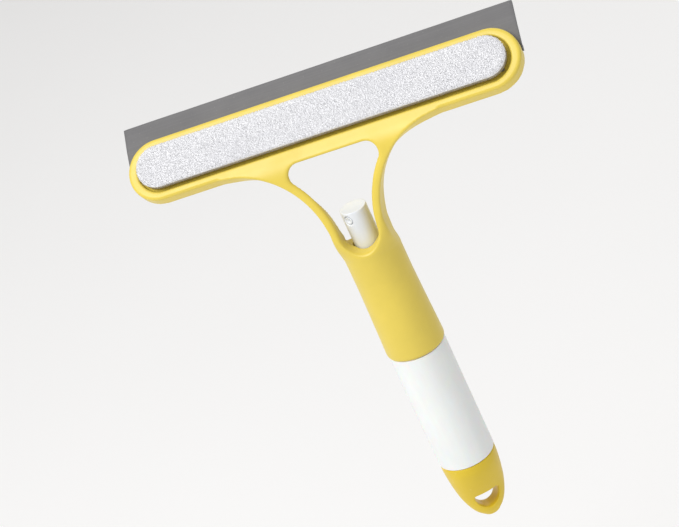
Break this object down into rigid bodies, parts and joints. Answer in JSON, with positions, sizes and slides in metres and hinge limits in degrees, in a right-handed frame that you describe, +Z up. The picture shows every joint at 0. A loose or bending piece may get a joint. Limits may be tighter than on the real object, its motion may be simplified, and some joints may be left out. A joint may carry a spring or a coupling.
{
  "type": "spray window squeegee",
  "caption": "Window wiper with a grey rubber blade, a white scrubbing pad in an oval tray, a forked neck and a spray bottle that forms the handle.",
  "frame": {"origin": "on the handle's axis, in the middle of the grip, where the hand holds it", "axes": "+X along the blade, +Z up the handle to the head, the pad faces -Y and up"},
  "size_m": [0.24, 0.0683, 0.2905],
  "materials": {
    "yellow_plastic": "satin moulded yellow plastic",
    "golden_plastic": "satin moulded golden yellow plastic",
    "white_plastic": "smooth white plastic",
    "frosted_plastic": "frosted white translucent plastic",
    "clear_plastic": "clear moulded plastic",
    "grey_rubber": "matt grey rubber",
    "black_seal": "black rubber",
    "white_pile": "short white microfibre pile",
    "pad_foam": "grey-brown foam",
    "hook_tape": "grey hook and loop tape",
    "steel": "bright steel"
  },
  "bodies": {
    "handle": {"head_frame": "yellow_plastic", "back_cover": "yellow_plastic", "blade": "grey_rubber", "cover_screw_1": "steel", "cover_screw_2": "steel", "cover_screw_3": "steel", "cover_screw_4": "steel", "cover_screw_5": "steel", "cover_screw_6": "steel", "hook_tape_left": "hook_tape", "hook_tape_right": "hook_tape", "pad_backing": "hook_tape", "pad_foam": "pad_foam", "pad_pile": "white_pile", "bottle_collar": "white_plastic", "pump_housing": "clear_plastic", "stem_guide": "white_plastic", "dip_tube": "clear_plastic", "return_spring": "steel"},
    "valve_ball": {"inlet_ball": "steel"},
    "plunger": {"stem": "white_plastic", "piston": "black_seal"},
    "button": {"spray_button": "white_plastic", "nozzle": "white_plastic"},
    "washer": {"bottle_washer": "black_seal"},
    "reservoir": {"bottle": "frosted_plastic", "end_cap": "golden_plastic"}
  },
  "joints": [
    {"name": "button_press", "type": "slide", "parent": "handle", "child": "plunger", "axis": [0, 0, -1], "range_m": [0, 0.0055], "stiffness_N_per_m": 600, "springref_m": -0.002, "deforming": ["return_spring"]},
    {"name": "button_turn", "type": "hinge", "parent": "plunger", "child": "button", "pos_m": [0, 0, 0.05], "axis": [0, 0, 1], "continuous": true},
    {"name": "ball_lift", "type": "slide", "parent": "handle", "child": "valve_ball", "axis": [0, 0, 1], "range_m": [0, 0.0012]},
    {"name": "bottle_drop", "type": "slide", "parent": "handle", "child": "washer", "axis": [0, 0, -1], "range_m": [0, 0.0045]},
    {"name": "bottle_turn", "type": "hinge", "parent": "washer", "child": "reservoir", "pos_m": [0, 0, -0.05], "axis": [0, 0, -1], "range_deg": [0, 540]}
  ],
  "couplings": [
    {"joint": "bottle_drop", "follows": "bottle_turn", "m_per_rad": 0.00047746}
  ]
}
